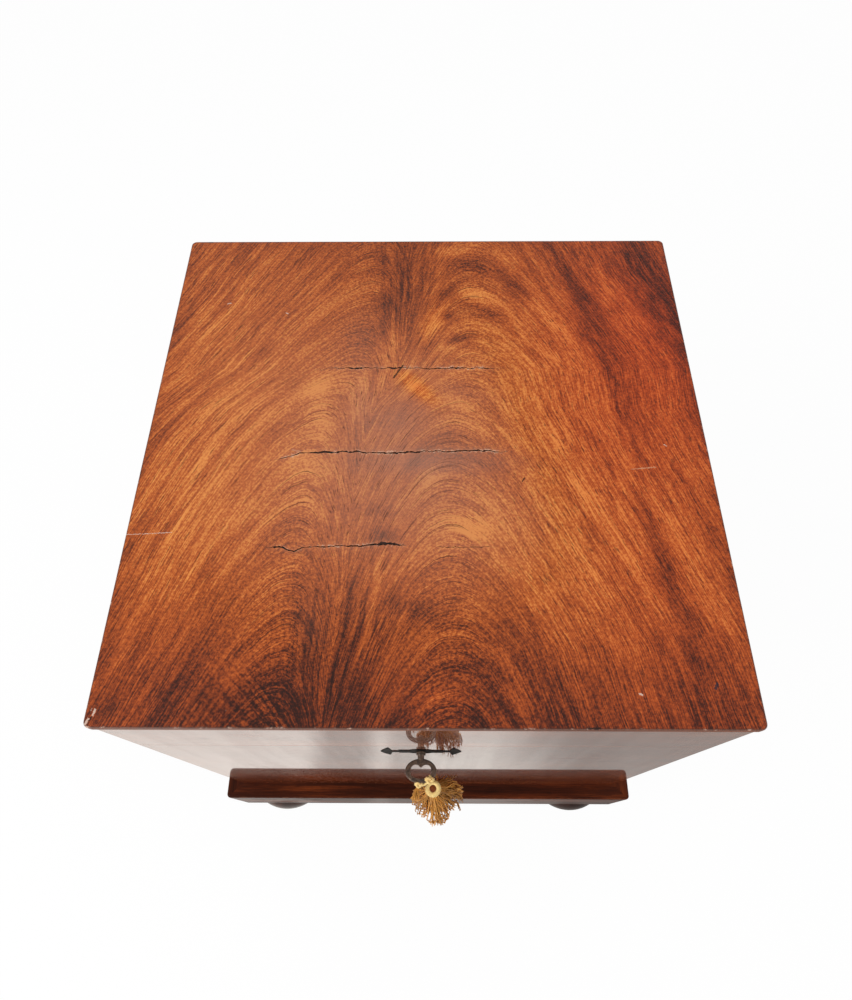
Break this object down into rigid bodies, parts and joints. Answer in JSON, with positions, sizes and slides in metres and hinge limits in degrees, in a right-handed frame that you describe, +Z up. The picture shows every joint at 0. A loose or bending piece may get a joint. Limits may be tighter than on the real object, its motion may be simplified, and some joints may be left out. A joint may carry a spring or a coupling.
{
  "type": "cellarette with hinged lid",
  "caption": "Square mahogany wine cellarette with a deep hinged lid, figured veneer top, lock with tasselled key, lead-lined bottle compartments, plinth and bun feet.",
  "frame": {"origin": "on the floor, at the bottom centre of the whole part's box, tassel included", "axes": "+X to the right as seen from the front, +Y to the back, +Z up"},
  "size_m": [0.546, 0.576, 0.64],
  "materials": {
    "mahogany": "french polished, glossy",
    "mahogany_moulding": "french polished, glossy",
    "turned_mahogany": "french polished, glossy, dark",
    "flame_veneer": "figured crotch mahogany veneer, french polished",
    "divider_mahogany": "planed, waxed",
    "deal": "bare softwood, aged",
    "lead": "dull lead sheet",
    "brass": "aged, satin",
    "brass_screws": "aged, satin",
    "iron": "dull iron",
    "key_iron": "browned iron, worn bright at the neck",
    "ebonised_inlay": "black, matte",
    "tassel_cord": "cream twisted cord",
    "tassel_yarn": "golden silk floss"
  },
  "bodies": {
    "case": {"case_front": "mahogany", "case_back": "mahogany", "case_left": "mahogany", "case_right": "mahogany", "case_floor": "deal", "plinth_front": "mahogany_moulding", "plinth_back": "mahogany_moulding", "plinth_left": "mahogany_moulding", "plinth_right": "mahogany_moulding", "foot_front_left": "turned_mahogany", "foot_back_left": "turned_mahogany", "foot_front_right": "turned_mahogany", "foot_back_right": "turned_mahogany", "corner_blocks": "deal", "lead_liner": "lead", "capping_front": "mahogany_moulding", "capping_back": "mahogany_moulding", "capping_left": "mahogany_moulding", "capping_right": "mahogany_moulding", "divider_across_1": "divider_mahogany", "divider_across_2": "divider_mahogany", "divider_lengthwise_1": "divider_mahogany", "divider_lengthwise_2": "divider_mahogany", "hinge_lower_leaf_left": "brass", "hinge_lower_leaf_right": "brass", "hinge_pin_left": "brass", "hinge_pin_right": "brass", "hinge_screws_lower": "brass_screws", "lock_plate": "brass", "lock_case": "iron", "lock_pins": "iron", "lock_screws": "iron", "escutcheon": "ebonised_inlay"},
    "lid": {"lid_front": "mahogany", "lid_back": "mahogany", "lid_left": "mahogany", "lid_right": "mahogany", "lid_top_board_1": "mahogany", "lid_top_board_2": "mahogany", "lid_top_board_3": "mahogany", "lid_top_board_4": "mahogany", "lid_veneer": "flame_veneer", "hinge_upper_leaf_left": "brass", "hinge_upper_leaf_right": "brass", "hinge_screws_upper": "brass_screws", "link_plate": "brass", "link_plate_screws": "brass_screws"},
    "lock_bolt": {"lock_bolt": "iron"},
    "key": {"key": "key_iron", "tassel_loop": "tassel_cord"},
    "tassel": {"tassel_head": "tassel_cord", "tassel_skirt": "tassel_yarn"}
  },
  "joints": [
    {"name": "lid_hinge", "type": "hinge", "parent": "case", "child": "lid", "pos_m": [0, 0.26695, 0.5402], "axis": [-1, 0, 0], "range_deg": [0, 95]},
    {"name": "key_turn", "type": "hinge", "parent": "case", "child": "key", "pos_m": [-0.004, -0.23145, 0.506], "axis": [0, 1, 0], "range_deg": [0, 180]},
    {"name": "bolt_slide", "type": "slide", "parent": "case", "child": "lock_bolt", "axis": [1, 0, 0], "range_m": [0, 0.009]},
    {"name": "tassel_hang", "type": "hinge", "parent": "key", "child": "tassel", "pos_m": [0.0068, -0.26205, 0.506], "axis": [0, 1, 0], "range_deg": [-180, 0]}
  ],
  "couplings": [
    {"joint": "bolt_slide", "follows": "key_turn", "m_per_rad": 0.0028648},
    {"joint": "tassel_hang", "follows": "key_turn", "ratio": -1}
  ]
}
